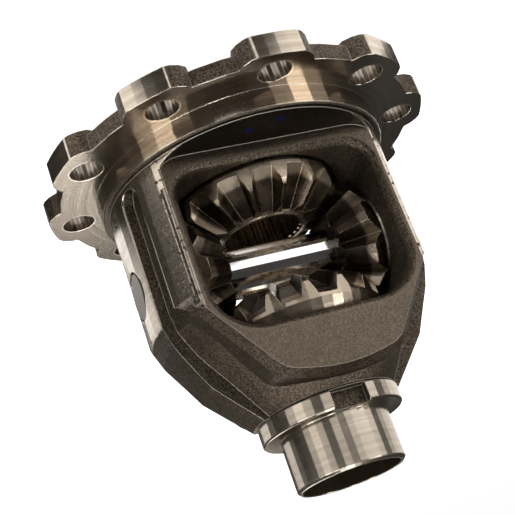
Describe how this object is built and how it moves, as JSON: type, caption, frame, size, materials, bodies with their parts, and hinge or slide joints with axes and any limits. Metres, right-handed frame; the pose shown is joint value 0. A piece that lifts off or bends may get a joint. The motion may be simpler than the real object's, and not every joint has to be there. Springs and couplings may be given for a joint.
{
  "type": "open bevel-gear differential",
  "caption": "Cast differential case with a lobed ring-gear flange and open windows, holding meshed bevel side gears and pinions on a cross shaft.",
  "frame": {"origin": "centre of the end face of the flange-side journal, on the axle axis", "axes": "+Z along the axle axis towards the hub-side journal; X along the cross shaft, lock pin on the -X side; windows face -Y and +Y"},
  "size_m": [0.1528, 0.156, 0.1676],
  "materials": {
    "cast_iron": "grainy as cast, machined bright on flange, pilot, lands, collar and journals",
    "forged_steel": "semi-gloss forged and machined",
    "ground_steel": "ground mirror-bright",
    "pin_steel": "satin",
    "washer_steel": "satin"
  },
  "bodies": {
    "carrier": {"case": "cast_iron", "cross_shaft": "ground_steel", "lock_pin": "pin_steel", "side_washer_flange": "washer_steel", "side_washer_hub": "washer_steel", "pinion_washer_left": "washer_steel", "pinion_washer_right": "washer_steel"},
    "flange_gear": {"side_gear_flange": "forged_steel"},
    "hub_gear": {"side_gear_hub": "forged_steel"},
    "left_pinion": {"pinion_left": "forged_steel"},
    "right_pinion": {"pinion_right": "forged_steel"}
  },
  "joints": [
    {"name": "flange_gear_spin", "type": "hinge", "parent": "carrier", "child": "flange_gear", "pos_m": [0, 0, 0.0815], "axis": [0, 0, 1], "continuous": true},
    {"name": "hub_gear_spin", "type": "hinge", "parent": "carrier", "child": "hub_gear", "pos_m": [0, 0, 0.0815], "axis": [0, 0, 1], "continuous": true},
    {"name": "left_pinion_spin", "type": "hinge", "parent": "carrier", "child": "left_pinion", "pos_m": [0, 0, 0.0815], "axis": [1, 0, 0], "continuous": true},
    {"name": "right_pinion_spin", "type": "hinge", "parent": "carrier", "child": "right_pinion", "pos_m": [0, 0, 0.0815], "axis": [1, 0, 0], "continuous": true}
  ],
  "couplings": [
    {"joint": "hub_gear_spin", "follows": "flange_gear_spin", "ratio": -1},
    {"joint": "left_pinion_spin", "follows": "flange_gear_spin", "ratio": 1.6667},
    {"joint": "right_pinion_spin", "follows": "flange_gear_spin", "ratio": -1.6667}
  ]
}
